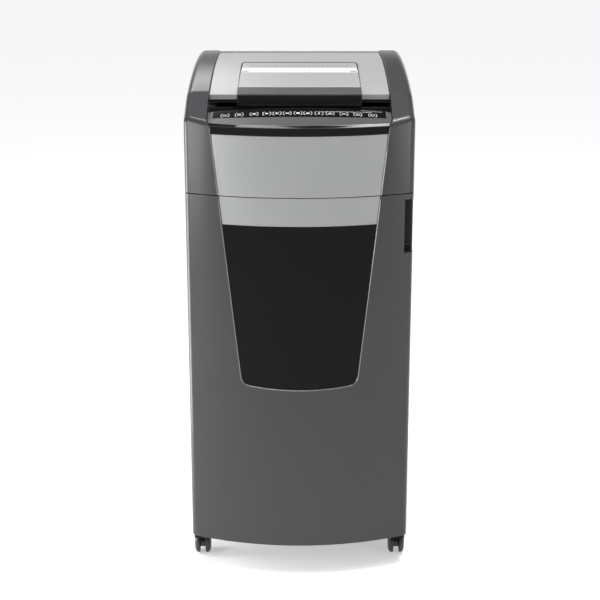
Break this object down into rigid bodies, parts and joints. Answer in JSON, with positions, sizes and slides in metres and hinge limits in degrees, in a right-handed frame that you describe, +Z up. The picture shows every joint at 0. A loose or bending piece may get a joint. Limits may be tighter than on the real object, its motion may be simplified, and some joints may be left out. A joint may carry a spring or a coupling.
{
  "type": "office paper shredder",
  "caption": "Free-standing office paper shredder on castors with a hinged lid over an automatic paper tray, a manual feed throat, interleaved cutters and a bowed front door with a window.",
  "frame": {"origin": "on the floor below the middle of the body", "axes": "+Z up, front with the door towards -Y, +X to the right as seen from the front"},
  "size_m": [0.47, 0.6, 1.064],
  "materials": {
    "panel_grey": "satin dark grey, finely grained",
    "shell_grey": "satin dark grey with a faint metallic grain",
    "silver": "satin silver",
    "smoked_window": "smoked, nearly black",
    "control_black": "glossy black",
    "black_plastic": "black, fine texture",
    "steel_plate": "zinc plated sheet and rod",
    "cutter_steel": "hardened steel",
    "gear_metal": "sintered steel",
    "bush_brass": "sintered bronze",
    "motor_iron": "laminated stack, dark",
    "belt_rubber": "matt black",
    "board_green": "green laminate",
    "castor_hood": "black nylon",
    "castor_tread": "black nylon wheel"
  },
  "bodies": {
    "housing": {"base_tray": "panel_grey", "left_side_panel": "panel_grey", "right_side_panel": "panel_grey", "rear_panel": "panel_grey", "deck_plate": "steel_plate", "shred_chute": "black_plastic", "bag_hoop": "steel_plate", "door_hinge_brackets": "steel_plate", "door_catch": "black_plastic", "left_cheek": "shell_grey", "right_cheek": "shell_grey", "front_fascia": "silver", "control_panel": "control_black", "throat_front_guide": "black_plastic", "throat_rear_guide": "black_plastic", "paper_tray": "black_plastic", "rear_cover": "shell_grey", "power_inlet": "black_plastic", "circuit_boards": "board_green", "lid_hinge_pins": "steel_plate", "motor": "motor_iron", "cutter_frame": "steel_plate", "bearings": "bush_brass", "stripper_combs": "cutter_steel", "feed_belt": "belt_rubber"},
    "lid": {"lid_shell": "silver", "lid_centre_cover": "silver", "lid_level_strip": "silver", "lid_grip": "black_plastic", "lid_grip_cap": "shell_grey", "pad_springs": "steel_plate"},
    "pad": {"pressure_pad": "black_plastic"},
    "door": {"door_panel": "shell_grey", "door_trim": "silver", "door_window": "smoked_window", "door_grip_cup": "black_plastic", "door_strike": "steel_plate"},
    "rocker": {"power_rocker": "black_plastic"},
    "rear_cutter_body": {"rear_cutter": "cutter_steel", "rear_cutter_gear": "gear_metal", "drive_pulley": "gear_metal"},
    "front_cutter_body": {"front_cutter": "cutter_steel", "front_cutter_gear": "gear_metal"},
    "compound_body": {"compound_gear": "gear_metal"},
    "motor_rotor": {"motor_pinion": "cutter_steel"},
    "feed_body": {"feed_shaft": "steel_plate", "feed_rollers": "belt_rubber", "feed_pulley": "gear_metal"},
    "front_left_swivel": {"castor_front_left_hood": "castor_hood"},
    "front_left_inner": {"castor_front_left_inner_wheel": "castor_tread"},
    "front_left_outer": {"castor_front_left_outer_wheel": "castor_tread"},
    "front_right_swivel": {"castor_front_right_hood": "castor_hood"},
    "front_right_inner": {"castor_front_right_inner_wheel": "castor_tread"},
    "front_right_outer": {"castor_front_right_outer_wheel": "castor_tread"},
    "rear_left_swivel": {"castor_rear_left_hood": "castor_hood"},
    "rear_left_inner": {"castor_rear_left_inner_wheel": "castor_tread"},
    "rear_left_outer": {"castor_rear_left_outer_wheel": "castor_tread"},
    "rear_right_swivel": {"castor_rear_right_hood": "castor_hood"},
    "rear_right_inner": {"castor_rear_right_inner_wheel": "castor_tread"},
    "rear_right_outer": {"castor_rear_right_outer_wheel": "castor_tread"}
  },
  "joints": [
    {"name": "lid_hinge", "type": "hinge", "parent": "housing", "child": "lid", "pos_m": [0, 0.284, 1.04668], "axis": [-1, 0, 0], "range_deg": [0, 75]},
    {"name": "pad_slide", "type": "slide", "parent": "lid", "child": "pad", "axis": [0, 0, 1], "range_m": [0, 0.008], "stiffness_N_per_m": 300, "deforming": ["pad_springs"]},
    {"name": "door_hinge", "type": "hinge", "parent": "housing", "child": "door", "pos_m": [-0.227, -0.22205, 0.45], "axis": [0, 0, -1], "range_deg": [0, 92]},
    {"name": "rocker_tilt", "type": "hinge", "parent": "housing", "child": "rocker", "pos_m": [0.076, 0.294, 0.874], "axis": [1, 0, 0], "range_deg": [0, 16]},
    {"name": "cutter_rear_spin", "type": "hinge", "parent": "housing", "child": "rear_cutter_body", "pos_m": [0, -0.14, 0.871], "axis": [1, 0, 0], "continuous": true},
    {"name": "cutter_front_spin", "type": "hinge", "parent": "housing", "child": "front_cutter_body", "pos_m": [0, -0.19, 0.871], "axis": [1, 0, 0], "continuous": true},
    {"name": "compound_spin", "type": "hinge", "parent": "housing", "child": "compound_body", "pos_m": [0.135, -0.10062, 0.878], "axis": [1, 0, 0], "continuous": true},
    {"name": "motor_spin", "type": "hinge", "parent": "housing", "child": "motor_rotor", "pos_m": [0.13, -0.05262, 0.878], "axis": [1, 0, 0], "continuous": true},
    {"name": "feed_spin", "type": "hinge", "parent": "housing", "child": "feed_body", "pos_m": [0, -0.115, 0.92531], "axis": [1, 0, 0], "continuous": true},
    {"name": "front_left_swivel_turn", "type": "hinge", "parent": "housing", "child": "front_left_swivel", "pos_m": [-0.216, -0.169, 0.07], "axis": [0, 0, 1], "continuous": true},
    {"name": "front_left_inner_roll", "type": "hinge", "parent": "front_left_swivel", "child": "front_left_inner", "pos_m": [-0.204, -0.187, 0.025], "axis": [1, 0, 0], "continuous": true},
    {"name": "front_left_outer_roll", "type": "hinge", "parent": "front_left_swivel", "child": "front_left_outer", "pos_m": [-0.228, -0.187, 0.025], "axis": [1, 0, 0], "continuous": true},
    {"name": "front_right_swivel_turn", "type": "hinge", "parent": "housing", "child": "front_right_swivel", "pos_m": [0.216, -0.169, 0.07], "axis": [0, 0, 1], "continuous": true},
    {"name": "front_right_inner_roll", "type": "hinge", "parent": "front_right_swivel", "child": "front_right_inner", "pos_m": [0.204, -0.187, 0.025], "axis": [1, 0, 0], "continuous": true},
    {"name": "front_right_outer_roll", "type": "hinge", "parent": "front_right_swivel", "child": "front_right_outer", "pos_m": [0.228, -0.187, 0.025], "axis": [1, 0, 0], "continuous": true},
    {"name": "rear_left_swivel_turn", "type": "hinge", "parent": "housing", "child": "rear_left_swivel", "pos_m": [-0.216, 0.23, 0.07], "axis": [0, 0, 1], "continuous": true},
    {"name": "rear_left_inner_roll", "type": "hinge", "parent": "rear_left_swivel", "child": "rear_left_inner", "pos_m": [-0.204, 0.212, 0.025], "axis": [1, 0, 0], "continuous": true},
    {"name": "rear_left_outer_roll", "type": "hinge", "parent": "rear_left_swivel", "child": "rear_left_outer", "pos_m": [-0.228, 0.212, 0.025], "axis": [1, 0, 0], "continuous": true},
    {"name": "rear_right_swivel_turn", "type": "hinge", "parent": "housing", "child": "rear_right_swivel", "pos_m": [0.216, 0.23, 0.07], "axis": [0, 0, 1], "continuous": true},
    {"name": "rear_right_inner_roll", "type": "hinge", "parent": "rear_right_swivel", "child": "rear_right_inner", "pos_m": [0.204, 0.212, 0.025], "axis": [1, 0, 0], "continuous": true},
    {"name": "rear_right_outer_roll", "type": "hinge", "parent": "rear_right_swivel", "child": "rear_right_outer", "pos_m": [0.228, 0.212, 0.025], "axis": [1, 0, 0], "continuous": true}
  ],
  "couplings": [
    {"joint": "cutter_front_spin", "follows": "cutter_rear_spin", "ratio": -1},
    {"joint": "compound_spin", "follows": "cutter_rear_spin", "ratio": -1.6667},
    {"joint": "motor_spin", "follows": "cutter_rear_spin", "ratio": 5},
    {"joint": "feed_spin", "follows": "cutter_rear_spin", "ratio": 1}
  ]
}
